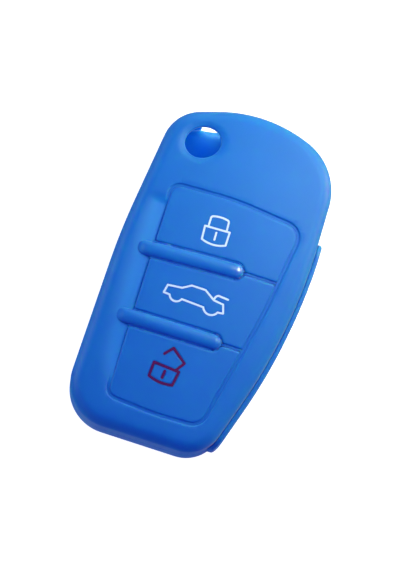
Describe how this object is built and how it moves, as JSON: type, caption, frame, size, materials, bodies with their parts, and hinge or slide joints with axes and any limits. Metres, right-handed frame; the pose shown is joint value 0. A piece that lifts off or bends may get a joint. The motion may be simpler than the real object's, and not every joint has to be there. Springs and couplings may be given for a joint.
{
  "type": "key fob cover",
  "caption": "Soft silicone sleeve for a folding car key, with crowned push pads, raised divider bars, a keyring hole, a collared blade slot and a round release pad in the back.",
  "frame": {"origin": "middle of the footprint, on the flat back face the cover lies on", "axes": "+X across the cover towards the blade slot, +Y along it towards the keyring end, +Z out of the button side"},
  "size_m": [0.0434, 0.0743, 0.0189],
  "materials": {
    "silicone": "matte, slightly translucent moulded silicone",
    "thin_silicone": "matte, thin and more translucent moulded silicone",
    "white_ink": "matte silicone ink",
    "dark_red_ink": "matte silicone ink"
  },
  "bodies": {
    "sleeve": {"front_shell": "silicone", "back_shell": "silicone", "slot_collar": "silicone", "upper_divider_bar": "silicone", "lower_divider_bar": "silicone", "lock_web": "thin_silicone", "boot_web": "thin_silicone", "unlock_web": "thin_silicone", "release_web": "thin_silicone"},
    "lock_button": {"lock_pad": "silicone", "lock_icon": "white_ink", "lock_keyhole": "white_ink"},
    "boot_button": {"boot_pad": "silicone", "boot_icon": "white_ink"},
    "unlock_button": {"unlock_pad": "silicone", "unlock_icon": "dark_red_ink", "unlock_keyhole": "dark_red_ink"},
    "release_button": {"release_pad": "silicone"}
  },
  "joints": [
    {"name": "lock_press", "type": "slide", "parent": "sleeve", "child": "lock_button", "axis": [0, 0, -1], "range_m": [0, 0.0008], "stiffness_N_per_m": 800},
    {"name": "boot_press", "type": "slide", "parent": "sleeve", "child": "boot_button", "axis": [0, 0, -1], "range_m": [0, 0.0008], "stiffness_N_per_m": 800},
    {"name": "unlock_press", "type": "slide", "parent": "sleeve", "child": "unlock_button", "axis": [0, 0, -1], "range_m": [0, 0.0008], "stiffness_N_per_m": 800},
    {"name": "release_press", "type": "slide", "parent": "sleeve", "child": "release_button", "axis": [0, 0, 1], "range_m": [0, 0.0008], "stiffness_N_per_m": 800}
  ]
}
